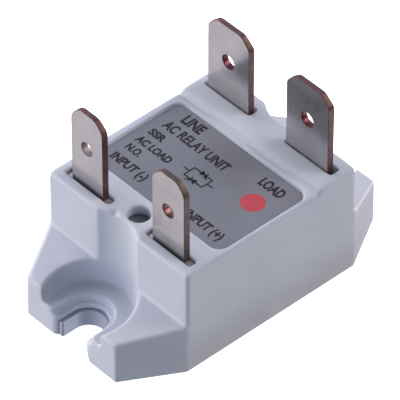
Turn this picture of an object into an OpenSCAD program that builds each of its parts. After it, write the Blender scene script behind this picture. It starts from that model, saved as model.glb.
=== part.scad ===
// Miniature flat-pack solid state relay with push-on tabs.
// Origin: centre of the heatsink face. +X runs from the control tabs to the output tabs, +Z is up.

/* [Housing] */
// Length over the two mounting ears
overall_l = 36.6; // [36:0.1:40]
// Width of the body
body_w = 21.4; // [21.2:0.1:24]
// Length of the raised block between the ears
block_l = 23.6; // [23.4:0.1:24.2]
// Height of the top face above the heatsink face
top_z = 13.55; // [13.5:0.05:15]
// Extra height of the frame around the label
frame_rise = 0.1; // [0.05:0.05:0.3]
// Extra height of the shelf that carries the output tabs
shelf_rise = 0.45; // [0.35:0.05:0.8]
// Height of the ear at the control end, at its outer end
control_ear_z = 5.3; // [4.8:0.1:5.8]
// Height of the ear at the control end, where it meets the block
control_ear_block_z = 6.4; // [6:0.1:7]
// Height of the ear at the output end, at its outer end
output_ear_z = 5.5; // [4.8:0.1:5.8]
// Height of the ear at the output end, where it meets the block
output_ear_block_z = 7.9; // [6:0.1:8.5]
// Width of an ear at its outer end
ear_end_w = 13.8; // [13:0.1:16]
// Thickness of the side and end walls
wall_t = 1; // [0.8:0.05:1]
// Thickness of the roof
roof_t = 1.4; // [1.2:0.1:1.5]
// Radius of the upright corners of the ears
ear_corner_r = 0.4; // [0.4:0.1:1]
// Radius of the upright corners of the block
block_corner_r = 0.3; // [0.2:0.1:0.8]
// Diameter of the gel filling hole in the top face
fill_hole_d = 2.5; // [2:0.1:2.8]

/* [Screw notches] */
// Distance between the centres of the two screw notches
notch_pitch = 31.8; // [31.4:0.1:32.2]
// Width of the notch in the base plate, which takes an M3 screw
screw_notch_w = 3.7; // [3.4:0.1:4]
// Width of the notch in the plastic ear
ear_notch_w = 5.5; // [5:0.1:6]
// Radius of the round well for the screw head at the control end
control_well_r = 5.1; // [4.8:0.1:5.3]
// Radius of the round well for the screw head at the output end
output_well_r = 4.9; // [4.7:0.1:5]
// Height of the ledge around the notch
ledge_z = 3.5; // [3:0.1:4]

/* [Base plate] */
// Thickness of the base plate
plate_t = 2; // [1.5:0.1:2.2]
// Thickness of the plastic skirt around the base plate
skirt_t = 0.45; // [0.3:0.05:0.6]
// Height of the skirt's lower edge above the heatsink face
skirt_z = 0.1; // [0.1:0.05:0.3]

/* [Label] */
// Length of the label recess
label_l = 12.6; // [11:0.1:12.8]
// Width of the label recess
label_w = 19.8; // [18:0.1:20]
// Depth of the label recess
label_recess = 0.35; // [0.2:0.05:0.5]
// Thickness of the label
label_t = 0.1; // [0.05:0.05:0.2]

/* [Tabs] */
// Thickness of every tab
tab_t = 0.8; // [0.7:0.1:0.8]
// Thickness of a tab at its bevelled tip
tip_t = 0.65; // [0.4:0.05:0.65]
// Width of an output tab
output_tab_w = 6.3; // [6:0.1:6.4]
// Height of the output tabs above the heatsink face
output_tab_z = 23.85; // [22:0.05:26]
// Distance between the two output tabs
output_pitch = 12; // [11.8:0.1:12.1]
// Width of an input tab
input_tab_w = 4.8; // [4.6:0.1:5]
// Height of the input tabs above the heatsink face
input_tab_z = 23.35; // [22:0.05:26]
// Distance between the two input tabs
input_pitch = 12.4; // [12.2:0.1:12.5]
// Diameter of the locking hole in an output tab
output_hole_d = 1.8; // [1.6:0.1:2]
// Diameter of the locking hole in an input tab
input_hole_d = 1.65; // [1.4:0.05:1.8]

/* [Power stage] */
// Length of the ceramic substrate
substrate_l = 19.2; // [18.6:0.1:19.4]
// Width of the ceramic substrate
substrate_w = 17.6; // [17:0.1:18]
// Thickness of the ceramic
ceramic_t = 0.6; // [0.4:0.05:0.7]
// Thickness of each copper layer on the ceramic
copper_t = 0.3; // [0.2:0.05:0.4]
// Side of a thyristor chip
chip_w = 6; // [5:0.1:6.2]

/* [Control board] */
// Height of the underside of the control board
board_z = 7.6; // [7.2:0.1:7.8]
// Thickness of the control board
board_t = 1; // [0.8:0.1:1]

/* [Hidden] */

$fn = 64;
// Tiny overlap that joins two solids, and the length by which cutters stick out
eps = 0.01;
over = 1;

// Housing
half_l = overall_l / 2;
half_w = body_w / 2;
block_x = block_l / 2;
frame_z = top_z + frame_rise;
shelf_z = top_z + shelf_rise;
frame_margin = 0.45;
frame_slope_l = 0.3;
ramp_start_x = 5.9;
ramp_end_x = 7.4;
ear_angle = atan2(half_w - ear_end_w / 2, half_l - block_x);
roof_z = top_z - roof_t;
seal_t = 0.1;
cavity_z = plate_t + seal_t;
cavity_l = block_l - 2 * wall_t;
cavity_w = body_w - 2 * wall_t;
notch_x = notch_pitch / 2;
notch_mouth_r = 0.8;
plate_mouth_r = 0.3;
plate_corner_r = 0.3;
output_well_x = 15.6;
well_fillet = 0.5;
collar_step = 0.55;
collar_h = 0.65;
collar_z = cavity_z + collar_h;
fill_hole_x = -9.1;
fill_hole_y = -0.4;

// Label
label_x = -0.7;
label_y = -0.25;
label_corner_r = 1.3;
label_gap = 0.1;

// Tabs
output_x = 9.5;
input_x = -9.9;
output_chamfer_y = 1.3;
output_chamfer_z = 1.2;
input_chamfer_y = 1.15;
input_chamfer_z = 1.15;
output_tip_r = 0.9;
input_tip_r = 1.3;
input_corner_r = 0.4;
tip_bevel_h = 1.3;
slot_near_gap = 0.05;
output_slot_back_gap = 0.45;
output_slot_l = 6.9;
output_slot_shift = 0.2;
input_slot_back_gap = 0.2;
input_slot_l = 6.8;
output_hole_drop = 4.65;
input_hole_drop = 4.65;
shoulder_w = 6.3;
shoulder_drop = 0.4;
shoulder_z = top_z - shoulder_drop;
shoulder_h = 2.4;
shoulder_base = shoulder_z - shoulder_h;
leg_w = 1.2;
leg_below_board = 0.5;
foot_w = 4.4;
foot_l = 3.4;
foot_x = 7.6;
bend_z = 5;

// Power stage, from the base plate up
solder_t = 0.1;
bottom_copper_z = plate_t + solder_t;
ceramic_z = bottom_copper_z + copper_t;
track_z = ceramic_z + ceramic_t;
track_top = track_z + copper_t;
chip_z = track_top + solder_t;
chip_t = 0.35;
chip_top = chip_z + chip_t;
copper_margin = 0.4;
track_start_x = -6.6;
track_end_x = 9.2;
track_inner_y = 0.5;
track_outer_y = 8.3;
chip_x = -1;
chip_y = 4.4;
clip_t = 0.3;
clip_rise = 0.5;
clip_pad = 3.6;
clip_w = 1.4;
clip_arm_gap = 1.1;
clip_landing_y = 1.7;
gate_pad_x = -8.2;
gate_pad_l = 1.8;
gate_pad_w = 2.6;
gate_y = 6.2;
jumper_w = 0.8;
jumper_t = 0.15;
jumper_inset = 0.5;
jumper_clearance = 0.2;

// Control board
board_start_x = -10.4;
board_end_x = 7.6;
board_w = 18.6;
board_top = board_z + board_t;
board_gap = 0.2;
board_scallop_r = control_well_r + wall_t + board_gap;
pin_w = 0.6;
pin_above_board = 0.5;
pin_top = board_top + pin_above_board;
gate_pin_x = gate_pad_x - 0.4;
track_pin_x = -5.6;
track_pin_y = 7.8;
joint_d = 1.3;
joint_top_d = 0.9;
joint_t = 0.35;

// Optocoupler with six gull-wing leads
opto_l = 7.3;
opto_w = 6.2;
opto_h = 2.9;
opto_standoff = 0.25;
opto_z = board_top + opto_standoff;
opto_pitch = 2.54;
opto_lead_t = 0.25;
opto_lead_w = 1.1;
opto_lead_knee = 0.7;
opto_lead_reach = 5;

// Chip components, each as length, width and height; end_part is the share taken by one terminal
small_resistor = [3.2, 1.6, 0.55];
large_resistor = [6.3, 3.2, 0.65];
capacitor = [4.5, 3.2, 2];
diode = [4.3, 2.6, 2.1];
end_part = 0.16;
diode_terminal_part = 0.6;
input_side_x = -5.9;
input_resistor_y = -0.5;
diode_y = -4.5;
gate_resistor_x = 5.6;
gate_resistor_y = 2.6;
snubber_x = 2.2;
snubber_y = 7.1;

// Transistors, with two leads on one side and one on the other
transistor_y = [2.65, 5.65];
transistor_l = 2.9;
transistor_w = 1.3;
transistor_z = 0.1;
transistor_h = 1;
transistor_lead_l = 0.55;
transistor_lead_w = 0.4;
transistor_lead_h = 0.45;
transistor_lead_y = 0.95;

// Potting
gel_gap = 0.1;
gel_top = roof_z - gel_gap;
gel_skin_t = 0.25;
gel_pocket_margin = 1.2;
board_pocket_margin = 1;
board_pocket_inset = 0.6;

// Colours
plastic = [0.73, 0.76, 0.83];
film = [0.52, 0.54, 0.58];
metal = [0.72, 0.73, 0.75];
adhesive = [0.35, 0.36, 0.38];
copper = [0.76, 0.47, 0.33];
ceramic = [0.93, 0.93, 0.90];
silicon = [0.30, 0.31, 0.36];
tinned = [0.78, 0.78, 0.80];
solder = [0.70, 0.71, 0.73];
board = [0.10, 0.36, 0.20];
black = [0.12, 0.12, 0.13];
tan_ceramic = [0.76, 0.66, 0.50];
gel = [0.85, 0.88, 0.90, 0.6];

// ---- shapes that repeat ----

// Corner of an outline rounded to radius r: two tangent points and the centre of the arc
function unit(v) = v / norm(v);
function round_corner(before, at, after, r) =
    let (u = unit(before - at), w = unit(after - at), half = acos(u * w) / 2)
    [at + u * r / tan(half), at + w * r / tan(half), at + unit(u + w) * r / sin(half)];

// Convex outline with every corner rounded by a true arc
module rounded_polygon(points, r) {
    n = len(points);
    corners = [for (i = [0:n - 1])
        round_corner(points[(i + n - 1) % n], points[i], points[(i + 1) % n], r)];
    polygon([for (c = corners) each [c[0], c[1]]]);
    for (c = corners) translate(c[2]) circle(r);
}

module rounded_rectangle(l, w, r) {
    rounded_polygon([[l / 2, w / 2], [-l / 2, w / 2], [-l / 2, -w / 2], [l / 2, -w / 2]], r);
}

// Outline of the whole part, seen from above, moved inwards by inset
function ear_side_y(x, inset) =
    half_w - tan(ear_angle) * (x - block_x) - inset / cos(ear_angle);
function footprint(inset) =
    let (
        end_x = half_l - inset,
        end_y = ear_side_y(end_x, inset),
        side_x = block_x - (inset / cos(ear_angle) - inset) / tan(ear_angle),
        side_y = half_w - inset
    )
    [
        [end_x, end_y], [side_x, side_y], [-side_x, side_y], [-end_x, end_y],
        [-end_x, -end_y], [-side_x, -side_y], [side_x, -side_y], [end_x, -end_y]
    ];

// Both ends of the part are the same
module at_both_notches() {
    for (turn = [0, 180]) rotate([0, 0, turn]) translate([notch_x, 0, 0]) children();
}

// Open U notch of radius r that runs out through the end at distance reach, with a rounded mouth
module notch_outline(r, reach, mouth_r) {
    circle(r);
    translate([0, -r]) square([reach + over, 2 * r]);
    difference() {
        translate([reach - mouth_r, -r - mouth_r]) square([mouth_r + over, 2 * (r + mouth_r)]);
        for (side = [-1, 1]) translate([reach - mouth_r, side * (r + mouth_r)]) circle(mouth_r);
    }
}

// Inside of the block, seen from above: a rectangle that makes room for the two screw wells
module cavity_outline() {
    difference() {
        square([cavity_l, cavity_w], center = true);
        translate([-notch_x, 0]) circle(control_well_r + wall_t);
        translate([output_well_x, 0]) circle(output_well_r + wall_t);
    }
}

module box(low, high) {
    translate(low) cube(high - low);
}

// Box from z0 to z1 around a centre in plan
module block_at(x, y, l, w, z0, z1) {
    box([x - l / 2, y - w / 2, z0], [x + l / 2, y + w / 2, z1]);
}

// ---- housing ----

// Side profile, in the XZ plane, raised across the whole width of the body
module across_body() {
    rotate([90, 0, 0]) translate([0, 0, -half_w - over]) linear_extrude(body_w + 2 * over) children();
}

// Block with three levels: top face, frame around the label, and shelf for the output tabs
module block_solid() {
    frame_x = label_x - label_l / 2 - frame_margin;
    intersection() {
        translate([0, 0, skirt_z]) linear_extrude(shelf_z)
            rounded_rectangle(block_l, body_w, block_corner_r);
        across_body() polygon([
            [-block_x - over, skirt_z], [block_x + over, skirt_z], [block_x + over, shelf_z],
            [ramp_end_x, shelf_z], [ramp_start_x, frame_z], [frame_x, frame_z],
            [frame_x - frame_slope_l, top_z], [-block_x - over, top_z]
        ]);
    }
}

// Height of an ear's top at distance x from the middle, on a straight slope up to the block
function ear_top(x, end_z, block_z) =
    end_z + (block_z - end_z) * (half_l - x) / (half_l - block_x);

module ears_solid() {
    intersection() {
        translate([0, 0, skirt_z]) linear_extrude(output_ear_block_z)
            rounded_polygon(footprint(0), ear_corner_r);
        across_body() polygon([
            [-half_l - over, skirt_z], [half_l + over, skirt_z],
            [half_l + over, ear_top(half_l + over, output_ear_z, output_ear_block_z)],
            [block_x, output_ear_block_z], [-block_x, control_ear_block_z],
            [-half_l - over, ear_top(half_l + over, control_ear_z, control_ear_block_z)]
        ]);
    }
}

// Room for the screw head and the driver: a round well with a filleted floor
module well(r) {
    depth = shelf_z - ledge_z + over;
    translate([0, 0, ledge_z]) rotate_extrude() {
        square([r - well_fillet, depth]);
        translate([0, well_fillet]) square([r, depth - well_fillet]);
        translate([r - well_fillet, well_fillet]) circle(well_fillet);
    }
}

module ear_notch() {
    reach = half_l - notch_x;
    translate([0, 0, collar_z]) linear_extrude(ledge_z)
        notch_outline(ear_notch_w / 2, reach, notch_mouth_r);
    linear_extrude(ledge_z) notch_outline(ear_notch_w / 2 - collar_step, reach, notch_mouth_r);
}

// A slot in the roof for one tab: length along Y, width along X
module tab_slot(x0, x1, y, l) {
    box([x0, y - l / 2, roof_z - over], [x1, y + l / 2, shelf_z + over]);
}

module housing() {
    color(plastic) difference() {
        union() {
            ears_solid();
            block_solid();
        }
        translate([0, 0, -over]) linear_extrude(cavity_z + over)
            rounded_polygon(footprint(skirt_t), plate_corner_r);
        translate([0, 0, cavity_z - eps]) linear_extrude(roof_z - cavity_z + eps) cavity_outline();
        translate([-notch_x, 0, 0]) well(control_well_r);
        translate([output_well_x, 0, 0]) well(output_well_r);
        at_both_notches() ear_notch();
        translate([label_x, label_y, frame_z - label_recess]) linear_extrude(over)
            rounded_rectangle(label_l, label_w, label_corner_r);
        for (side = [-1, 1]) {
            tab_slot(output_x - tab_t / 2 - slot_near_gap, output_x + tab_t / 2 + output_slot_back_gap,
                side * (output_pitch / 2 + output_slot_shift), output_slot_l);
            tab_slot(input_x - tab_t / 2 - input_slot_back_gap, input_x + tab_t / 2 + slot_near_gap,
                side * input_pitch / 2, input_slot_l);
        }
        translate([fill_hole_x, fill_hole_y, roof_z - over])
            cylinder(d = fill_hole_d, h = roof_t + 2 * over);
    }
}

module label() {
    color(film)
        translate([label_x, label_y, frame_z - label_recess]) linear_extrude(label_t)
            rounded_rectangle(label_l - 2 * label_gap, label_w - 2 * label_gap, label_corner_r - label_gap);
}

// ---- base plate ----

module base_plate() {
    color(metal) linear_extrude(plate_t) difference() {
        rounded_polygon(footprint(skirt_t), plate_corner_r);
        at_both_notches() notch_outline(screw_notch_w / 2, half_l - skirt_t - notch_x, plate_mouth_r);
    }
}

// Bead of adhesive that seals the housing to the base plate
module housing_seal() {
    color(adhesive) translate([0, 0, plate_t]) linear_extrude(seal_t) difference() {
        rounded_polygon(footprint(skirt_t), plate_corner_r);
        cavity_outline();
        at_both_notches() notch_outline(ear_notch_w / 2 + collar_step, half_l - notch_x, notch_mouth_r);
    }
}

// ---- power stage: copper on ceramic, two thyristor chips back to back ----

module substrate_layer(z, t, margin) {
    block_at(0, 0, substrate_l - 2 * margin, substrate_w - 2 * margin, z, z + t);
}

module substrate_solder() {
    color(solder) substrate_layer(plate_t, solder_t, copper_margin);
}

module substrate_bottom_copper() {
    color(copper) substrate_layer(bottom_copper_z, copper_t, copper_margin);
}

module substrate_ceramic() {
    color(ceramic) substrate_layer(ceramic_z, ceramic_t, 0);
}

// One wide track on each side of the centre line: line on +Y, load on -Y
module copper_track(side) {
    mirror([0, side < 0 ? 1 : 0, 0]) color(copper)
        box([track_start_x, track_inner_y, track_z], [track_end_x, track_outer_y, track_top]);
}

module line_copper_track() {
    copper_track(1);
}

module load_copper_track() {
    copper_track(-1);
}

module gate_copper_pads() {
    color(copper) for (side = [-1, 1])
        block_at(gate_pad_x, side * gate_y, gate_pad_l, gate_pad_w, track_z, track_top);
}

module chip_solder() {
    color(solder) for (side = [-1, 1])
        block_at(chip_x, side * chip_y, chip_w, chip_w, track_top, chip_z);
}

module thyristor_chip(side) {
    color(silicon) block_at(chip_x, side * chip_y, chip_w, chip_w, chip_z, chip_top);
}

module forward_thyristor_chip() {
    thyristor_chip(1);
}

module reverse_thyristor_chip() {
    thyristor_chip(-1);
}

// Copper clip from the top of one chip, along X past its edge, then across to the other track
module cathode_clip() {
    arm_x = chip_x + chip_w / 2 + clip_arm_gap;
    arm_start = arm_x - clip_w / 2;
    arm_end = arm_x + clip_w / 2;
    arch_z = chip_top + clip_rise;
    inner = chip_x + clip_pad / 2;
    landing_y = -clip_landing_y;
    color(copper) {
        block_at(chip_x, chip_y, clip_pad, clip_pad, chip_top, chip_top + clip_t);
        box([inner - clip_t, chip_y - clip_w / 2, chip_top], [inner, chip_y + clip_w / 2, arch_z + clip_t]);
        box([inner - clip_t, chip_y - clip_w / 2, arch_z], [arm_end, chip_y + clip_w / 2, arch_z + clip_t]);
        box([arm_start, landing_y, arch_z], [arm_end, chip_y, arch_z + clip_t]);
        box([arm_start, landing_y, track_top], [arm_end, landing_y + clip_t, arch_z]);
        box([arm_start, landing_y - clip_w / 2, track_top],
            [arm_end, landing_y + clip_t, track_top + clip_t]);
    }
}

module forward_cathode_clip() {
    cathode_clip();
}

// The reverse clip is the same piece turned half round about the middle of the chips
module reverse_cathode_clip() {
    translate([2 * chip_x, 0, 0]) rotate([0, 0, 180]) cathode_clip();
}

// Thin strip from the gate of each chip to its gate pad
module gate_jumpers() {
    on_chip_x = chip_x - chip_w / 2 + jumper_inset;
    on_pad_x = gate_pad_x + jumper_inset;
    arch_z = chip_top + clip_rise + clip_t + jumper_clearance;
    color(copper) for (side = [-1, 1]) {
        low_y = side * gate_y - jumper_w / 2;
        high_y = side * gate_y + jumper_w / 2;
        block_at(on_chip_x, side * gate_y, jumper_w, jumper_w, chip_top, chip_top + jumper_t);
        box([on_chip_x, low_y, chip_top], [on_chip_x + jumper_t, high_y, arch_z]);
        box([on_pad_x, low_y, arch_z], [on_chip_x + jumper_t, high_y, arch_z + jumper_t]);
        box([on_pad_x, low_y, track_top], [on_pad_x + jumper_t, high_y, arch_z]);
    }
}

// ---- tabs ----

// Blade outline in the YZ plane, drawn in 2D with y across and z up
module output_blade(top) {
    w = output_tab_w / 2;
    rounded_polygon([
        [w, 0], [w, top - output_chamfer_z], [w - output_chamfer_y, top],
        [output_chamfer_y - w, top], [-w, top - output_chamfer_z], [-w, 0]
    ], output_tip_r);
    translate([-w, 0]) square([2 * w, top / 2]);
}

module input_blade(top) {
    w = input_tab_w / 2;
    rounded_polygon([
        [w, 0], [w, top - input_chamfer_z], [w - input_chamfer_y, top],
        [input_chamfer_y - w, top], [-w, top - input_chamfer_z], [-w, 0]
    ], input_tip_r);
    rounded_polygon([[w, 0], [w, top / 2], [-w, top / 2], [-w, 0]], input_corner_r);
}

// Raise a YZ outline into a plate of tab thickness centred on x
module tab_plate(x, y) {
    translate([x - tab_t / 2, y, 0]) rotate([90, 0, 90]) linear_extrude(tab_t) children();
}

// Blade: a plate from z0 up to top, with both broad faces bevelled at the tip
module bevelled_blade(x, y, z0, top) {
    intersection() {
        tab_plate(x, y) translate([0, z0]) children();
        across_body() polygon([
            [x - tab_t, z0 - over], [x + tab_t, z0 - over], [x + tab_t, top - tip_bevel_h],
            [x + tab_t / 2, top - tip_bevel_h], [x + tip_t / 2, top], [x - tip_t / 2, top],
            [x - tab_t / 2, top - tip_bevel_h], [x - tab_t, top - tip_bevel_h]
        ]);
    }
}

// Output tab: blade, a narrower riser, a strain-relief bend and a foot on its copper track
module output_tab(side) {
    y = side * output_pitch / 2;
    foot_z = chip_z;
    color(tinned) difference() {
        union() {
            bevelled_blade(output_x, y, roof_z, output_tab_z) output_blade(output_tab_z - roof_z);
            block_at(output_x, y, tab_t, foot_w, bend_z, roof_z + eps);
            box([foot_x - tab_t / 2, y - foot_w / 2, bend_z],
                [output_x + tab_t / 2, y + foot_w / 2, bend_z + tab_t]);
            box([foot_x - tab_t / 2, y - foot_w / 2, foot_z],
                [foot_x + tab_t / 2, y + foot_w / 2, bend_z + eps]);
            box([foot_x - foot_l, y - foot_w / 2, foot_z], [foot_x, y + foot_w / 2, foot_z + tab_t]);
        }
        translate([output_x - tab_t, y, output_tab_z - output_hole_drop])
            rotate([0, 90, 0]) cylinder(d = output_hole_d, h = 2 * tab_t);
    }
}

module output_tab_line() {
    output_tab(1);
}

module output_tab_load() {
    output_tab(-1);
}

module tab_solder() {
    color(solder) for (side = [-1, 1])
        box([foot_x - foot_l, side * output_pitch / 2 - foot_w / 2, track_top],
            [foot_x + tab_t / 2, side * output_pitch / 2 + foot_w / 2, chip_z]);
}

// Input tab: blade, shoulders just below the top face, and two legs through the board
module input_tab(side) {
    y = side * input_pitch / 2;
    color(tinned) difference() {
        union() {
            bevelled_blade(input_x, y, shoulder_base, input_tab_z) input_blade(input_tab_z - shoulder_base);
            block_at(input_x, y, tab_t, shoulder_w, shoulder_base, shoulder_z);
            input_legs(side);
        }
        translate([input_x - tab_t, y, input_tab_z - input_hole_drop])
            rotate([0, 90, 0]) cylinder(d = input_hole_d, h = 2 * tab_t);
    }
}

module input_legs(side) {
    for (leg = [-1, 1])
        block_at(input_x, side * input_pitch / 2 + leg * (shoulder_w - leg_w) / 2, tab_t, leg_w,
            board_z - leg_below_board, shoulder_base + eps);
}

module input_tab_minus() {
    input_tab(1);
}

module input_tab_plus() {
    input_tab(-1);
}

// ---- control board ----

module board_outline() {
    difference() {
        translate([board_start_x, -board_w / 2]) square([board_end_x - board_start_x, board_w]);
        translate([-notch_x, 0]) circle(board_scallop_r);
    }
}

// Two gate pins and two track pins join the board to the substrate
module at_board_pins() {
    for (side = [-1, 1]) {
        translate([gate_pin_x, side * gate_y, 0]) children();
        translate([track_pin_x, side * track_pin_y, 0]) children();
    }
}

module board_pins() {
    color(tinned) at_board_pins() block_at(0, 0, pin_w, pin_w, track_top, pin_top);
}

module control_board() {
    color(board) difference() {
        translate([0, 0, board_z]) linear_extrude(board_t) board_outline();
        at_board_pins() block_at(0, 0, pin_w, pin_w, board_z - over, board_top + over);
        for (side = [-1, 1]) input_legs(side);
    }
}

// Solder rings round the pins on the top of the board
module board_solder_joints() {
    color(solder) at_board_pins() difference() {
        translate([0, 0, board_top]) cylinder(d1 = joint_d, d2 = joint_top_d, h = joint_t);
        block_at(0, 0, pin_w, pin_w, board_top - over, board_top + over);
    }
}

module optocoupler_body() {
    color(black) block_at(0, 0, opto_l, opto_w, opto_z, opto_z + opto_h);
}

// Six gull-wing leads
module optocoupler_leads() {
    exit_z = opto_z + opto_h / 2;
    knee_y = opto_w / 2 + opto_lead_knee;
    color(tinned) for (side = [-1, 1], i = [-1:1])
        translate([i * opto_pitch - opto_lead_w / 2, 0, 0]) mirror([0, side < 0 ? 1 : 0, 0])
            rotate([90, 0, 90]) linear_extrude(opto_lead_w) polygon([
                [opto_w / 2, exit_z], [opto_w / 2, exit_z + opto_lead_t], [knee_y, exit_z + opto_lead_t],
                [knee_y, board_top + opto_lead_t], [opto_lead_reach, board_top + opto_lead_t],
                [opto_lead_reach, board_top], [knee_y - opto_lead_t, board_top],
                [knee_y - opto_lead_t, exit_z]
            ]);
}

// Body and terminals of a chip component that lies along X on the board, size = [length, width, height]
module chip_body(x, y, size) {
    block_at(x, y, size[0] * (1 - 2 * end_part), size[1], board_top, board_top + size[2]);
}

module chip_ends(x, y, size) {
    end_l = size[0] * end_part;
    for (side = [-1, 1])
        block_at(x + side * (size[0] - end_l) / 2, y, end_l, size[1], board_top, board_top + size[2]);
}

// The parts beside the optocoupler lie along Y
module turned_to_y(x, y) {
    translate([x, y, 0]) rotate([0, 0, 90]) children();
}

module input_resistor() {
    color(black) turned_to_y(input_side_x, input_resistor_y) chip_body(0, 0, small_resistor);
}

module gate_resistors() {
    color(black) for (side = [-1, 1])
        turned_to_y(gate_resistor_x, side * gate_resistor_y) chip_body(0, 0, small_resistor);
}

module resistor_terminals() {
    color(tinned) {
        turned_to_y(input_side_x, input_resistor_y) chip_ends(0, 0, small_resistor);
        for (side = [-1, 1])
            turned_to_y(gate_resistor_x, side * gate_resistor_y) chip_ends(0, 0, small_resistor);
    }
}

module reverse_polarity_diode() {
    color(black) turned_to_y(input_side_x, diode_y) chip_body(0, 0, diode);
}

// The terminals of the diode are narrower and lower than its body
module diode_terminals() {
    color(tinned) turned_to_y(input_side_x, diode_y)
        chip_ends(0, 0, [diode[0], diode[1] * diode_terminal_part, diode[2] * diode_terminal_part]);
}

module limiter_transistors() {
    color(black) for (y = transistor_y)
        block_at(input_side_x, y, transistor_w, transistor_l,
            board_top + transistor_z, board_top + transistor_h);
}

// Two leads on one side of each body and one on the other
module transistor_leads() {
    reach = (transistor_w + transistor_lead_l) / 2;
    color(tinned) for (y = transistor_y)
        for (lead = [[-reach, -transistor_lead_y], [-reach, transistor_lead_y], [reach, 0]])
            block_at(input_side_x + lead[0], y + lead[1], transistor_lead_l, transistor_lead_w,
                board_top, board_top + transistor_lead_h);
}

module snubber_resistor() {
    color(black) chip_body(snubber_x, -snubber_y, large_resistor);
}

module snubber_capacitor() {
    color(tan_ceramic) chip_body(snubber_x, snubber_y, capacitor);
}

module snubber_terminals() {
    color(tinned) {
        chip_ends(snubber_x, -snubber_y, large_resistor);
        chip_ends(snubber_x, snubber_y, capacitor);
    }
}

// ---- potting ----

// Clear gel that fills the block up to just below the roof, with a pocket for the parts on the board
module potting_gel() {
    color(gel) difference() {
        translate([0, 0, cavity_z]) linear_extrude(gel_top - cavity_z) cavity_outline();
        block_at(0, 0, substrate_l, substrate_w, cavity_z - over, track_top);
        box([gate_pad_x - gel_pocket_margin, -track_outer_y, cavity_z - over],
            [track_end_x, track_outer_y, bend_z]);
        translate([0, 0, board_z]) linear_extrude(board_t) board_outline();
        for (side = [-1, 1]) {
            block_at((foot_x + output_x) / 2, side * output_pitch / 2, output_x - foot_x + tab_t, foot_w,
                bend_z - eps, bend_z + tab_t);
            block_at(output_x, side * output_pitch / 2, tab_t, foot_w, bend_z, gel_top + over);
            input_legs(side);
            block_at(input_x, side * input_pitch / 2, tab_t, shoulder_w, shoulder_base, gel_top + over);
        }
        at_board_pins() block_at(0, 0, pin_w, pin_w, track_top - eps, board_z + eps);
        box([gate_pad_x - gel_pocket_margin, -track_pin_y - board_pocket_margin, board_top - eps],
            [board_end_x - board_pocket_inset, track_pin_y + board_pocket_margin,
                gel_top - gel_skin_t]);
    }
}

housing();
label();
base_plate();
housing_seal();
substrate_solder();
substrate_bottom_copper();
substrate_ceramic();
line_copper_track();
load_copper_track();
gate_copper_pads();
chip_solder();
forward_thyristor_chip();
reverse_thyristor_chip();
forward_cathode_clip();
reverse_cathode_clip();
gate_jumpers();
tab_solder();
output_tab_line();
output_tab_load();
input_tab_minus();
input_tab_plus();
control_board();
board_pins();
board_solder_joints();
optocoupler_body();
optocoupler_leads();
reverse_polarity_diode();
diode_terminals();
limiter_transistors();
transistor_leads();
input_resistor();
gate_resistors();
resistor_terminals();
snubber_resistor();
snubber_capacitor();
snubber_terminals();
potting_gel();
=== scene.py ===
"""Looks of the miniature solid state relay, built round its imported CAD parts. Lengths are in metres."""
import math

import bmesh
import bpy
import numpy as np
from mathutils import Matrix, Vector


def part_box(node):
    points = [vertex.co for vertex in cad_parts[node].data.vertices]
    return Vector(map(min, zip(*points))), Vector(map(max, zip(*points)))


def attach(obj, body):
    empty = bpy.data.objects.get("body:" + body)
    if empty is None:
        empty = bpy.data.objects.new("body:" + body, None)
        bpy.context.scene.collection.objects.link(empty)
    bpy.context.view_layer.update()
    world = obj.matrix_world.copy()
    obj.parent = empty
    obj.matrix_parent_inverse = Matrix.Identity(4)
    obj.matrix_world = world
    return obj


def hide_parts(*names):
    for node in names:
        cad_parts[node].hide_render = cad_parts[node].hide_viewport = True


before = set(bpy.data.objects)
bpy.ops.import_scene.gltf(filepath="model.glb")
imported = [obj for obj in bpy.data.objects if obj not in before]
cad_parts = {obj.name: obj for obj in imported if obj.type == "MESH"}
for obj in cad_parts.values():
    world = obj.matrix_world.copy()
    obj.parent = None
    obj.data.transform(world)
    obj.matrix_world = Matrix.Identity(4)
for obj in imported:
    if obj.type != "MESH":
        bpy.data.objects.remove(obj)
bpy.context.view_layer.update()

MM = 0.001
SCENE = bpy.context.scene

# Places taken from the imported CAD parts
HOUSING_LOW, HOUSING_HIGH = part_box("housing")
LABEL_LOW, LABEL_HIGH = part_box("label")
INPUT_LOW, INPUT_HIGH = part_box("input_tab_minus")
OUTPUT_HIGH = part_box("output_tab_line")[1]
PLATE_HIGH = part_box("base_plate")[1]
GEL_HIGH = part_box("potting_gel")[1]
LABEL_CENTRE = (LABEL_LOW + LABEL_HIGH) / 2
SHELF_Z = HOUSING_HIGH.z


# ---- meshes ----

def apply_modifiers(piece):
    """Swaps the piece's mesh for what its modifiers make of it."""
    depsgraph = bpy.context.evaluated_depsgraph_get()
    mesh = bpy.data.meshes.new_from_object(piece.evaluated_get(depsgraph))
    piece.modifiers.clear()
    piece.data = mesh


def new_piece(name, data):
    """An object of this name with this mesh or curve."""
    piece = bpy.data.objects.new(name, data)
    SCENE.collection.objects.link(piece)
    return piece


def free_copy(node, name):
    """A piece with a CAD node's own shape, its split corners merged and its flat faces whole again."""
    piece = new_piece(name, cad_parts[node].data.copy())
    bm = bmesh.new()
    bm.from_mesh(piece.data)
    bmesh.ops.remove_doubles(bm, verts=bm.verts, dist=0.002 * MM)
    bmesh.ops.dissolve_limit(bm, angle_limit=math.radians(0.5), verts=bm.verts, edges=bm.edges)
    bm.to_mesh(piece.data)
    bm.free()
    return piece


def finished(piece, *finishes):
    """Swaps the piece's materials for these."""
    piece.data.materials.clear()
    for finish in finishes:
        piece.data.materials.append(finish)


def smooth_shaded(piece, flat_faces_lead=False):
    """Smooth shading with face-weighted normals; the large flat faces lead where a bevel marks them."""
    for face in piece.data.polygons:
        face.use_smooth = True
    normals = piece.modifiers.new("normals", "WEIGHTED_NORMAL")
    normals.weight = 100
    normals.keep_sharp = False
    normals.use_face_influence = flat_faces_lead


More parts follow.
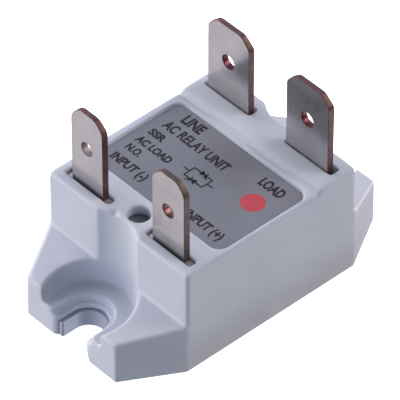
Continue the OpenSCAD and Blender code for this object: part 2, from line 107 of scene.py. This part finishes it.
def stand_in(piece, slot, *nodes):
    """The piece is shown in place of these CAD nodes."""
    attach(piece, "root")
    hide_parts(*nodes)


def vertex_spots(mesh):
    """The mesh's vertex positions, one row each."""
    spots = np.empty(len(mesh.vertices) * 3)
    mesh.vertices.foreach_get("co", spots)
    return spots.reshape(-1, 3)


def move_vertices(mesh, spots):
    mesh.vertices.foreach_set("co", spots.ravel())
    mesh.update()


def relax(mesh, passes, weight):
    """Moves each vertex towards the mean of its neighbours by its own weight, which softens the edges."""
    spots = vertex_spots(mesh)
    count = len(spots)
    ends = np.empty(len(mesh.edges) * 2, dtype=np.int64)
    mesh.edges.foreach_get("vertices", ends)
    a, b = ends.reshape(-1, 2).T
    links = (np.bincount(a, minlength=count) + np.bincount(b, minlength=count))[:, None]
    strength = weight(spots)[:, None]
    for _ in range(passes):
        near = [np.bincount(a, spots[b, i], count) + np.bincount(b, spots[a, i], count) for i in range(3)]
        spots += strength * (np.stack(near, 1) / links - spots)
    move_vertices(mesh, spots)


# ---- housing: one moulding with soft edges ----

VOXEL = 0.12 * MM
RELAX_PASSES = 22
FACES_KEPT = 0.15

# Middle and radius of the filling hole, as in the CAD
FILL_HOLE = (-9.1 * MM, -0.4 * MM)
FILL_HOLE_R = 1.25 * MM

# Widths of the crisp rims round the label recess, the filling hole and the slots, and the slots' ends in y
LABEL_RIM_X = 0.9 * MM
LABEL_RIM_Y = 0.3 * MM
HOLE_RIM = 0.35 * MM
SLOT_HALF_X = 1.1 * MM
SLOT_FROM_Y = 2.3 * MM
SLOT_TO_Y = 10 * MM

# Share of the way to its neighbours' mean that a vertex of each region moves in one pass
SOFTNESS = {
    "walls": 0.28,
    "roof": 0.42,
    "roof_sides": 0.6,
    "control_ear_top": 0.5,
    "output_ear_top": 0.3,
    "label_recess": 0.08,
    "hole_rim": 0.1,
    "slots": 0.09,
    "ledges": 0.1,
    "foot": 0.02,
}


def edge_softness(spots):
    """Top edges are round; upright edges, the foot and the rims of the recess, slots and hole stay crisp."""
    x, y, z = spots.T
    on_roof = z > SHELF_Z - 1.2 * MM
    on_ear_top = (abs(x) > GEL_HIGH.x + 1.2 * MM) & (z > 4.5 * MM) & (z < 8.6 * MM)
    in_label = (
        (x > LABEL_LOW.x - LABEL_RIM_X) & (x < LABEL_HIGH.x + LABEL_RIM_X)
        & (y > LABEL_LOW.y - LABEL_RIM_Y) & (y < LABEL_HIGH.y + LABEL_RIM_Y)
    )
    from_hole = np.hypot(x - FILL_HOLE[0], y - FILL_HOLE[1])
    in_slot_rows = (abs(y) > SLOT_FROM_Y) & (abs(y) < SLOT_TO_Y)
    by_output_tab = abs(x - OUTPUT_HIGH.x) < SLOT_HALF_X
    by_input_tab = abs(x - (INPUT_LOW.x + INPUT_HIGH.x) / 2) < SLOT_HALF_X
    regions = {
        "roof": on_roof,
        "control_ear_top": on_ear_top & (x < 0),
        "output_ear_top": on_ear_top & (x > 0),
        "roof_sides": on_roof & (abs(y) > GEL_HIGH.y - 0.5 * MM),
        "label_recess": on_roof & in_label,
        "hole_rim": on_roof & (from_hole < FILL_HOLE_R + HOLE_RIM),
        "slots": on_roof & in_slot_rows & (by_output_tab | by_input_tab),
        "ledges": z < 3.1 * MM,
        "foot": z < PLATE_HIGH.z + 0.3 * MM,
    }
    strength = np.full(len(spots), SOFTNESS["walls"])
    for region, inside in regions.items():
        strength[inside] = SOFTNESS[region]
    return strength


# Marks of the mould on the roof: valley beside the label frame, and a gate dent at the rim of the well
VALLEY_FROM_LABEL = 0.85 * MM
VALLEY_HALF_W = 0.30 * MM
VALLEY_DEPTH = 0.26 * MM
GATE_DENT = (-10.9 * MM, 1.45 * MM)
GATE_DENT_R = 0.38 * MM
GATE_DENT_DEPTH = 0.4 * MM


def press_mould_marks(mesh):
    """Presses the valley beside the label frame and the gate dent into the roof, and spares the walls."""
    spots = vertex_spots(mesh)
    x, y, z = spots.T
    fade = np.clip((z - (SHELF_Z - 0.9 * MM)) / (0.4 * MM), 0, 1)
    across = (x - LABEL_HIGH.x - VALLEY_FROM_LABEL) / VALLEY_HALF_W
    from_gate = np.hypot(x - GATE_DENT[0], y - GATE_DENT[1]) / GATE_DENT_R
    z -= fade * (VALLEY_DEPTH * np.exp(-across**2) + GATE_DENT_DEPTH * np.exp(-from_gate**2))
    move_vertices(mesh, spots)


def housing_shell():
    """The moulding: the CAD shape remeshed evenly, softened and marked, and then thinned out."""
    piece = free_copy("housing", "housing_shell")
    remesh = piece.modifiers.new("remesh", "REMESH")
    remesh.mode = "VOXEL"
    remesh.voxel_size = VOXEL
    apply_modifiers(piece)
    relax(piece.data, RELAX_PASSES, edge_softness)
    press_mould_marks(piece.data)
    fewer = piece.modifiers.new("fewer", "DECIMATE")
    fewer.ratio = FACES_KEPT
    apply_modifiers(piece)
    smooth_shaded(piece)
    finished(piece, housing_plastic())
    stand_in(piece, "housing_plastic", "housing")


# ---- metal: sheared plates with small edge radii ----

TAB_EDGE_R = 0.05 * MM
PLATE_EDGE_R = 0.025 * MM
HOLE_ZONE = 1.1 * MM


def round_edges(piece, width, finish, segments=3):
    """Small radii on every sharp edge, in the finish of this number, with the flat faces left truly flat."""
    bevel = piece.modifiers.new("edges", "BEVEL")
    bevel.width = width
    bevel.segments = segments
    bevel.limit_method = "ANGLE"
    bevel.angle_limit = math.radians(25)
    bevel.material = finish
    bevel.face_strength_mode = "FSTR_ALL"
    smooth_shaded(piece, flat_faces_lead=True)


PLATED, STAMPED, PUNCHED, SUNK = range(4)


def tab_finish(face, hole_y, tip_z):
    """The finish of a tab's face: plated if broad, or stamped, punched for the hole, or sunk in the case,
    where a darker tin paints the shade.
    """
    if abs(face.normal.x) >= 0.5:
        return PLATED
    if face.center.z < SHELF_Z - 0.4 * MM:
        return SUNK
    at_hole_height = tip_z - 6 * MM < face.center.z < tip_z - 2 * MM
    if at_hole_height and abs(face.center.y - hole_y) < HOLE_ZONE:
        return PUNCHED
    return STAMPED


def sheared_tab(node, edge, hole_wall):
    """A tinned blade whose stamped edges and locking hole have finishes of their own."""
    piece = free_copy(node, node + "_blade")
    # The last finish is painted shade: darker tin for the faces sunk in the case.
    finished(piece, tin_plating(), edge, hole_wall, painted_shade_tin())
    low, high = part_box(node)
    for face in piece.data.polygons:
        face.material_index = tab_finish(face, (low.y + high.y) / 2, high.z)
    round_edges(piece, TAB_EDGE_R, STAMPED)
    stand_in(piece, "tinned_copper", node)


def heatsink_plate():
    piece = free_copy("base_plate", "heatsink_plate")
    finished(piece, brushed_plate())
    round_edges(piece, PLATE_EDGE_R, PLATED)
    stand_in(piece, "plate_metal", "base_plate")


# ---- print on the label ----

INK_T = 0.012 * MM

# Height of a capital letter in Blender's own font at size 1
CAPITAL = 0.729

# words, baseline's x and first letter's y from the label's centre, length and capital height in mm, boldness
PRINT_LINES = {
    "print_line": ("LINE", 4.3, 7.65, 2.9, 1.4, 0.042),
    "print_title": ("AC RELAY UNIT", 2.35, 8.45, 9.65, 1.3, 0.033),
    "print_kind": ("SSR", 0.6, 8.65, 2.2, 0.97, 0.045),
    "print_use": ("AC LOAD", -1.12, 8.75, 5.1, 0.99, 0.044),
    "print_contact": ("N.O.", -2.7, 8.55, 2.1, 1.0, 0.042),
    "print_input_minus": ("INPUT (-)", -4.8, 8.58, 5.2, 1.15, 0.040),
    "print_input_plus": ("INPUT (+)", -5.0, -3.05, 5.4, 1.15, 0.040),
    "print_load": ("LOAD", 3.8, -4.75, 3.3, 1.3, 0.040),
}


def turn_to_label(mesh):
    """Turns a mark that reads along x to the label's way: along -Y, with the letter tops to +X."""
    mesh.transform(Matrix.Rotation(-math.pi / 2, 4, "Z"))


def on_label(mesh, x, y, z):
    """Turns a mark to the label's way and puts it at x, y in mm from the label's centre."""
    turn_to_label(mesh)
    mesh.transform(Matrix.Translation((LABEL_CENTRE.x + x * MM, LABEL_CENTRE.y + y * MM, z)))


def printed_words(name, words, x, y, length, height, boldness):
    """A line of raised ink letters, stretched to its length and height."""
    curve = bpy.data.curves.new(name, "FONT")
    curve.body = words
    curve.offset = boldness
    curve.extrude = 0.5
    curve.resolution_u = 4
    text = new_piece(name + "_font", curve)
    bpy.context.view_layer.update()
    mesh = bpy.data.meshes.new_from_object(text.evaluated_get(bpy.context.evaluated_depsgraph_get()))
    bpy.data.objects.remove(text)
    spots = np.array([v.co for v in mesh.vertices])
    left, right = spots[:, 0].min(), spots[:, 0].max()
    mesh.transform(Matrix.Translation((-left, 0, 0)))
    mesh.transform(Matrix.Diagonal((length * MM / (right - left), height * MM / CAPITAL, INK_T, 1)))
    on_label(mesh, x, y, LABEL_HIGH.z + INK_T / 2)
    bm = bmesh.new()
    bm.from_mesh(mesh)
    bmesh.ops.remove_doubles(bm, verts=bm.verts, dist=0.001 * MM)
    bm.to_mesh(mesh)
    bm.free()
    mesh.name = name
    piece = new_piece(name, mesh)
    finished(piece, ink())
    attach(piece, "root")


def prism(bm, outline):
    """A closed flat prism of ink on this outline, given in mm from the middle of the mark."""
    low = [bm.verts.new((u * MM, v * MM, 0)) for u, v in outline]
    high = [bm.verts.new((u * MM, v * MM, INK_T)) for u, v in outline]
    bm.faces.new(low[::-1])
    bm.faces.new(high)
    for i in range(len(outline)):
        j = (i + 1) % len(outline)
        bm.faces.new((low[i], low[j], high[j], high[i]))


def stroke(bm, start, end, width=0.17):
    """A straight line of ink from start to end."""
    start, end = Vector(start), Vector(end)
    side = (end - start).orthogonal().normalized() * width / 2
    prism(bm, [start - side, end - side, end + side, start + side])


def marked(name, bm, x, y, finish):
    """Makes a piece of a drawn mark, with its middle at x, y in mm from the label's centre."""
    mesh = bpy.data.meshes.new(name)
    bmesh.ops.recalc_face_normals(bm, faces=bm.faces)
    bm.to_mesh(mesh)
    bm.free()
    on_label(mesh, x, y, LABEL_HIGH.z)
    piece = new_piece(name, mesh)
    finished(piece, finish)
    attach(piece, "root")


def print_symbol():
    """Circuit symbol: two thyristors in parallel, one each way."""
    loop_u, loop_v, stub_u = 1.35, 0.75, 2.2
    gate_half, gate_l = 0.42, 0.36
    bm = bmesh.new()
    for side in (-1, 1):
        stroke(bm, (-loop_u, side * loop_v), (loop_u, side * loop_v))
        stroke(bm, (side * loop_u, -loop_v), (side * loop_u, loop_v))
        stroke(bm, (side * loop_u, 0), (side * stub_u, 0))
        v = side * loop_v
        arrow = [(-side * gate_l, v - gate_half), (side * gate_l, v), (-side * gate_l, v + gate_half)]
        prism(bm, arrow[::side])
        stroke(bm, (side * gate_l, v - gate_half), (side * gate_l, v + gate_half))
        stroke(bm, (side * gate_l, v), (side * (gate_l + 0.45), v - 0.45))
    marked("print_symbol", bm, -0.15, -0.05, ink())


def print_dot():
    """A plain red dot."""
    radius, corners = 1.35, 64
    turns = [2 * math.pi * i / corners for i in range(corners)]
    bm = bmesh.new()
    prism(bm, [(radius * math.cos(turn), radius * math.sin(turn)) for turn in turns])
    marked("print_dot", bm, 1.45, -6.65, red_ink())


# ---- materials ----

def node(tree, kind, inputs=None, **settings):
    """Adds a shader node; an input that is a socket is linked, and any other is set."""
    made = tree.nodes.new(kind)
    for key, value in settings.items():
        setattr(made, key, value)
    for key, value in (inputs or {}).items():
        if isinstance(value, bpy.types.NodeSocket):
            tree.links.new(value, made.inputs[key])
        else:
            made.inputs[key].default_value = value
    return made


def noise(tree, per_mm, stretch=(1, 1, 1), detail=3.0, rough=0.55):
    """Noise with this many features per millimetre, drawn out along an axis where its stretch is below 1."""
    place = node(tree, "ShaderNodeTexCoord").outputs["Object"]
    scaled = node(tree, "ShaderNodeMapping", {"Vector": place, "Scale": stretch}).outputs["Vector"]
    return node(tree, "ShaderNodeTexNoise", {
        "Vector": scaled, "Scale": per_mm / MM, "Detail": detail, "Roughness": rough,
    }).outputs["Fac"]


def ramp(tree, value, low, high, start=0.3, end=0.7):
    """Turns noise into a colour or a number from low to high."""
    if isinstance(low, (int, float)):
        return node(tree, "ShaderNodeMapRange", {
            "Value": value, "From Min": start, "From Max": end, "To Min": low, "To Max": high,
        }).outputs["Result"]
    made = node(tree, "ShaderNodeValToRGB", {"Fac": value})
    made.color_ramp.elements[0].position = start
    made.color_ramp.elements[0].color = (*low, 1)
    made.color_ramp.elements[1].position = end
    made.color_ramp.elements[1].color = (*high, 1)
    return made.outputs["Color"]


def mixed(tree, share, a, b):
    """Colour a turning into colour b as the share goes from 0 to 1."""
    made = node(tree, "ShaderNodeMix", data_type="RGBA")
    for key, value in (("Factor", share), ("A", a), ("B", b)):
        sockets = [s for s in made.inputs if s.name == key and s.enabled]
        socket = sockets[-1] if key != "Factor" else sockets[0]
        if isinstance(value, bpy.types.NodeSocket):
            tree.links.new(value, socket)
        else:
            socket.default_value = value if isinstance(value, float) else (*value, 1)
    return [s for s in made.outputs if s.enabled][0]


def bumped(tree, layers):
    """Stacks bump layers, each a height and the depth in metres that it stands for."""
    normal = None
    for height, depth in layers:
        inputs = {"Height": height, "Distance": depth, "Strength": 1.0}
        if normal is not None:
            inputs["Normal"] = normal
        normal = node(tree, "ShaderNodeBump", inputs).outputs["Normal"]
    return normal


MADE = {}


def material(name, build):
    """The material of this name, built the first time that it is asked for."""
    if name not in MADE:
        made = bpy.data.materials.new(name)
        made.use_nodes = True
        tree = made.node_tree
        tree.nodes.clear()
        shader = node(tree, "ShaderNodeBsdfPrincipled")
        output = node(tree, "ShaderNodeOutputMaterial")
        tree.links.new(shader.outputs["BSDF"], output.inputs["Surface"])
        for key, value in build(tree).items():
            if isinstance(value, bpy.types.NodeSocket):
                tree.links.new(value, shader.inputs[key])
            else:
                shader.inputs[key].default_value = value
        MADE[name] = made
    return MADE[name]


def grown(
    name, low, high, rough, metallic=0.0, per_mm=1.5, grain=8.0, depth=0.002, stretch=(1, 1, 1), **more
):
    """A plain material with clouded colour, uneven gloss and a fine surface grain."""
    def build(tree):
        cloud = noise(tree, per_mm, stretch)
        fine = noise(tree, grain, stretch, detail=2.0)
        return {
            "Base Color": ramp(tree, cloud, low, high),
            "Roughness": ramp(tree, noise(tree, per_mm * 2.3, stretch), rough - 0.06, rough + 0.08),
            "Metallic": metallic,
            "Normal": bumped(tree, [(fine, depth * MM)]),
            **more,
        }
    return material(name, build)


def housing_plastic():
    """Satin moulded thermoplastic: eroded grain, faint flow clouds, specks and dull patches of wear."""
    def build(tree):
        cloud = noise(tree, 0.12, detail=4.0)
        body = ramp(tree, cloud, (0.470, 0.505, 0.600), (0.510, 0.545, 0.640))
        speck = ramp(tree, noise(tree, 5.0, detail=2.0), 0.0, 0.35, 0.72, 0.80)
        colour = mixed(tree, speck, body, (0.40, 0.42, 0.50))
        grain = noise(tree, 9.0, detail=2.0)
        wave = noise(tree, 0.5, detail=1.0)
        return {
            "Base Color": colour,
            "Roughness": ramp(tree, noise(tree, 0.8, detail=5.0), 0.38, 0.52),
            "Normal": bumped(tree, [(grain, 0.004 * MM), (wave, 0.01 * MM)]),
        }
    return material("moulded_plastic", build)


def label_film():
    """Printed polyester film: grey face, fine orange peel and light rub marks."""
    def build(tree):
        cloud = noise(tree, 0.3, detail=3.0)
        rub = noise(tree, 0.5, stretch=(1, 6, 1), detail=4.0)
        return {
            "Base Color": ramp(tree, cloud, (0.158, 0.166, 0.206), (0.180, 0.188, 0.230)),
            "Roughness": ramp(tree, rub, 0.30, 0.42),
            "Normal": bumped(tree, [(noise(tree, 3.0, detail=2.0), 0.004 * MM)]),
        }
    return material("label_film", build)


def ink():
    return grown(
        "black_ink", (0.010, 0.010, 0.016), (0.020, 0.020, 0.030), 0.46, grain=10.0, depth=0.001,
        **{"Specular IOR Level": 0.25},
    )


def red_ink():
    return grown("red_ink", (0.42, 0.035, 0.055), (0.50, 0.050, 0.075), 0.42, grain=10.0, depth=0.001)


def tin_plating():
    """Matt tin: fine rolling lines up the blade, cloudy dull patches and a few scratches."""
    def build(tree):
        cloud = noise(tree, 0.45, detail=4.0)
        rolled = noise(tree, 3.0, stretch=(1, 1, 0.05), detail=4.0)
        scratch = noise(tree, 1.6, stretch=(1, 1, 0.03), detail=2.0)
        return {
            "Base Color": ramp(tree, cloud, (0.515, 0.49, 0.485), (0.595, 0.57, 0.565)),
            "Metallic": 1.0,
            "Roughness": ramp(tree, rolled, 0.16, 0.26),
            "Normal": bumped(tree, [(rolled, 0.0008 * MM), (scratch, 0.0008 * MM)]),
        }
    return material("tin_plating", build)


# Tin darker than the plating: painted shade on the tab faces sunk in the case slots.
def painted_shade_tin():
    return grown(
        "painted_shade_tin", (0.30, 0.25, 0.255), (0.44, 0.37, 0.375), 0.5, metallic=0.7, per_mm=2.0, depth=0.006
    )


def sheared_edge(name, low, high):
    """Stamped edge of the strip: burnished and torn bands across it, browned by the air."""
    def build(tree):
        torn = noise(tree, 2.5, stretch=(0.6, 1, 1), detail=5.0)
        stain = noise(tree, 0.9, detail=3.0)
        return {
            "Base Color": ramp(tree, stain, low, high),
            "Metallic": 0.6,
            "Roughness": ramp(tree, torn, 0.38, 0.58),
            "Normal": bumped(tree, [(torn, 0.012 * MM)]),
        }
    return material(name, build)


def sheared_copper():
    return sheared_edge("sheared_copper", (0.085, 0.060, 0.058), (0.138, 0.096, 0.088))


def red_sheared_copper():
    return sheared_edge("red_sheared_copper", (0.085, 0.042, 0.044), (0.150, 0.078, 0.074))


def punched_wall(name, low, high):
    """Wall of a punched hole: bright copper with drag lines through the strip."""
    def build(tree):
        drag = noise(tree, 3.0, stretch=(0.15, 1, 1), detail=4.0)
        return {
            "Base Color": ramp(tree, noise(tree, 1.2), low, high),
            "Metallic": 1.0,
            "Roughness": ramp(tree, drag, 0.28, 0.45),
            "Normal": bumped(tree, [(drag, 0.008 * MM)]),
        }
    return material(name, build)


def punched_copper():
    return punched_wall("punched_copper", (0.20, 0.085, 0.078), (0.36, 0.18, 0.16))


def red_punched_copper():
    return punched_wall("red_punched_copper", (0.10, 0.030, 0.042), (0.19, 0.070, 0.082))


def brushed_plate():
    """Metal base: brushed along its length, with dull patches."""
    def build(tree):
        brushed = noise(tree, 5.0, stretch=(0.02, 1, 1), detail=5.0)
        cloud = noise(tree, 0.3, detail=3.0)
        return {
            "Base Color": ramp(tree, cloud, (0.46, 0.485, 0.60), (0.55, 0.575, 0.69)),
            "Metallic": 0.55,
            "Roughness": ramp(tree, brushed, 0.48, 0.62),
            "Normal": bumped(tree, [(brushed, 0.0008 * MM)]),
        }
    return material("brushed_plate", build)


def seal_adhesive():
    return grown("seal_adhesive", (0.030, 0.032, 0.036), (0.045, 0.048, 0.054), 0.5, per_mm=0.8, depth=0.006)


def bare_copper():
    return grown(
        "bare_copper", (0.50, 0.20, 0.11), (0.66, 0.31, 0.19), 0.34, metallic=1.0, stretch=(0.2, 1, 1)
    )


def joint_solder():
    return grown("joint_solder", (0.42, 0.43, 0.45), (0.58, 0.59, 0.61), 0.30, metallic=1.0, depth=0.006)


def bright_tin():
    return grown("bright_tin", (0.48, 0.47, 0.47), (0.60, 0.59, 0.59), 0.28, metallic=1.0, depth=0.001)


def alumina():
    return grown("alumina", (0.74, 0.73, 0.68), (0.82, 0.81, 0.77), 0.55, grain=14.0, depth=0.003)


def silicon():
    return grown("silicon", (0.020, 0.022, 0.035), (0.034, 0.037, 0.055), 0.16, metallic=0.3, depth=0.0004)


def circuit_board():
    return grown("circuit_board", (0.008, 0.075, 0.030), (0.016, 0.115, 0.048), 0.30, grain=3.0, depth=0.006)


def black_epoxy():
    return grown("black_epoxy", (0.014, 0.014, 0.016), (0.026, 0.026, 0.029), 0.58, grain=12.0, depth=0.004)


def capacitor_ceramic():
    return grown("capacitor_ceramic", (0.30, 0.20, 0.11), (0.40, 0.28, 0.16), 0.5, grain=12.0, depth=0.003)


def silicone_gel():
    return grown(
        "silicone_gel", (0.20, 0.24, 0.25), (0.28, 0.32, 0.33), 0.22, per_mm=0.5, grain=1.5, depth=0.01,
        **{"IOR": 1.41},
    )


# The record's material slot and the CAD nodes that keep their own shape in it
CARRIED_OVER = {
    ("label_film", label_film): ["label"],
    ("seal_adhesive", seal_adhesive): ["housing_seal"],
    ("bare_copper", bare_copper): [
        "substrate_bottom_copper", "line_copper_track", "load_copper_track", "gate_copper_pads",
        "forward_cathode_clip", "reverse_cathode_clip", "gate_jumpers",
    ],
    ("solder", joint_solder): ["substrate_solder", "chip_solder", "tab_solder", "board_solder_joints"],
    ("alumina", alumina): ["substrate_ceramic"],
    ("silicon", silicon): ["forward_thyristor_chip", "reverse_thyristor_chip"],
    ("circuit_board", circuit_board): ["control_board"],
    ("black_epoxy", black_epoxy): [
        "optocoupler_body", "reverse_polarity_diode", "limiter_transistors", "input_resistor",
        "gate_resistors", "snubber_resistor",
    ],
    ("tinned_copper", bright_tin): [
        "board_pins", "optocoupler_leads", "diode_terminals", "transistor_leads", "resistor_terminals",
        "snubber_terminals",
    ],
    ("capacitor_ceramic", capacitor_ceramic): ["snubber_capacitor"],
    ("silicone_gel", silicone_gel): ["potting_gel"],
}


def finish_cad_nodes():
    """Gives every CAD node that keeps its own shape its surface."""
    for (slot, finish), nodes in CARRIED_OVER.items():
        for name in nodes:
            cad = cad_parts[name]
            finished(cad, finish())


# ---- studio ----

# The camera stands at -X, -Y and +Z. Its azimuth runs from the -Y side, and it looks at a spot on the Z axis
CAMERA_AZIMUTH = math.radians(-42.29)
CAMERA_ELEVATION = math.radians(43.15)
CAMERA_DISTANCE = 519.8 * MM
CAMERA_LENS = 450
LOOK_Z = 7.88 * MM
AIM_RIGHT = -0.24 * MM
AIM_UP = 1.17 * MM


def camera():
    """A long lens aimed a little beside the point looked at, so that the part sits as in the photograph."""
    back = Vector((
        math.sin(CAMERA_AZIMUTH) * math.cos(CAMERA_ELEVATION),
        -math.cos(CAMERA_AZIMUTH) * math.cos(CAMERA_ELEVATION),
        math.sin(CAMERA_ELEVATION),
    ))
    right = Vector((math.cos(CAMERA_AZIMUTH), math.sin(CAMERA_AZIMUTH), 0))
    up = back.cross(right)
    look = Vector((0, 0, LOOK_Z))
    made = bpy.data.objects.new("camera", bpy.data.cameras.new("camera"))
    made.location = look + back * CAMERA_DISTANCE
    aim = look + right * AIM_RIGHT + up * AIM_UP
    made.rotation_mode = "QUATERNION"
    made.rotation_quaternion = (aim - made.location).to_track_quat("-Z", "Y")
    made.data.lens = CAMERA_LENS
    made.data.sensor_width = 36
    made.data.clip_start = 0.01
    made.data.clip_end = 10
    SCENE.collection.objects.link(made)
    SCENE.camera = made


def floor():
    """A plain white floor that only the camera sees."""
    half = 1.5
    bm = bmesh.new()
    bm.faces.new([bm.verts.new((x * half, y * half, 0)) for x, y in ((-1, -1), (1, -1), (1, 1), (-1, 1))])
    mesh = bpy.data.meshes.new("floor")
    bm.to_mesh(mesh)
    bm.free()
    made = new_piece("floor", mesh)
    mesh.materials.append(material("white_sweep", lambda tree: {
        "Base Color": (0.9, 0.9, 0.9, 1),
        "Roughness": 0.9,
        "Specular IOR Level": 0.0,
        "Emission Color": (1, 1, 1, 1),
        "Emission Strength": 1.0,
    }))
    made.visible_diffuse = False
    made.visible_glossy = False
    made.visible_transmission = False
    made.visible_shadow = False


SHADE_W = 3.6 * MM
SHADE_GAP = 0.1 * MM


def floor_shade():
    """A strip of floor beside the long side: it keeps the low light off the foot of that side."""
    near, far = HOUSING_LOW.y - SHADE_W, HOUSING_LOW.y - SHADE_GAP
    mesh = bpy.data.meshes.new("floor_shade")
    bm = bmesh.new()
    corners = ((HOUSING_LOW.x, near), (HOUSING_HIGH.x, near), (HOUSING_HIGH.x, far), (HOUSING_LOW.x, far))
    bm.faces.new([bm.verts.new((x, y, 0)) for x, y in corners])
    bm.to_mesh(mesh)
    bm.free()
    mesh.materials.append(material("shaded_floor", lambda tree: {
        "Base Color": (0.72, 0.62, 0.52, 1),
        "Roughness": 0.9,
    }))
    made = new_piece("floor_shade", mesh)
    made.visible_camera = False
    made.visible_glossy = False


# Softboxes: azimuth from +X towards +Y and elevation in degrees, distance and side in metres,
# and watts in red, green and blue
SOFTBOXES = {
    "left_strip": (135, 3, 0.6, 0.35, (2.12, 1.94, 1.48)),
    "left_fill": (180, 3, 0.6, 0.35, (1.12, 1.14, 1.46)),
    "back_left": (90, 33, 0.6, 0.35, (1.30, 1.20, 1.25)),
    "near_back": (97, 36, 0.36, 0.22, (0.45, 0.42, 0.47)),
    "back_strip": (90, 3, 0.6, 0.35, (0.55, 0.50, 0.53)),
    "back_right": (45, 33, 0.6, 0.35, (0.34, 0.36, 0.44)),
    "left_high": (135, 33, 0.6, 0.35, (0.17, 0.20, 0.19)),
    "right_strip": (0, -10, 0.6, 0.35, (1.75, 1.40, 1.40)),
    "right_key": (320, 33, 0.6, 0.35, (1.70, 1.52, 1.42)),
    "front_high": (270, 33, 0.6, 0.35, (0.21, 0.20, 0.20)),
    "front_top": (330, 56, 0.6, 0.30, (0.42, 0.43, 0.49)),
    "left_table_bounce": (135, -38, 0.6, 0.45, (0.38, 0.35, 0.40)),
    "back_table_bounce": (90, -38, 0.6, 0.45, (0.09, 0.09, 0.08)),
    "right_table_bounce": (315, -38, 0.6, 0.45, (0.87, 0.86, 0.95)),
}


WORLD_COLOUR = (0.163, 0.180, 0.179, 1)


def softbox(name, azimuth, elevation, distance, side, watts):
    """A square area light that faces the part; its strongest colour sets its power."""
    light = bpy.data.lights.new(name, "AREA")
    light.size = side
    light.energy = max(watts)
    light.color = [channel / max(watts) for channel in watts]
    turn, rise = math.radians(azimuth), math.radians(elevation)
    direction = Vector((math.cos(turn) * math.cos(rise), math.sin(turn) * math.cos(rise), math.sin(rise)))
    made = bpy.data.objects.new(name, light)
    made.location = Vector((0, 0, SHELF_Z / 2)) + direction * distance
    made.rotation_mode = "QUATERNION"
    made.rotation_quaternion = direction.to_track_quat("Z", "Y")
    SCENE.collection.objects.link(made)


def studio():
    """A dim even surround and the softboxes."""
    world = bpy.data.worlds.new("studio")
    world.use_nodes = True
    surround = world.node_tree.nodes["Background"]
    surround.inputs["Color"].default_value = WORLD_COLOUR
    surround.inputs["Strength"].default_value = 1.0
    SCENE.world = world
    for name, settings in SOFTBOXES.items():
        softbox(name, *settings)
    SCENE.view_settings.view_transform = "Standard"


housing_shell()
heatsink_plate()
for tab in ("output_tab_line", "output_tab_load"):
    sheared_tab(tab, red_sheared_copper(), red_punched_copper())
# Its hole wall takes the darker tin that paints the shade on faces sunk in the case.
sheared_tab("input_tab_minus", red_sheared_copper(), painted_shade_tin())
sheared_tab("input_tab_plus", sheared_copper(), punched_copper())
for line_name, line in PRINT_LINES.items():
    printed_words(line_name, *line)
print_symbol()
print_dot()
finish_cad_nodes()
floor()
floor_shade()
studio()
camera()
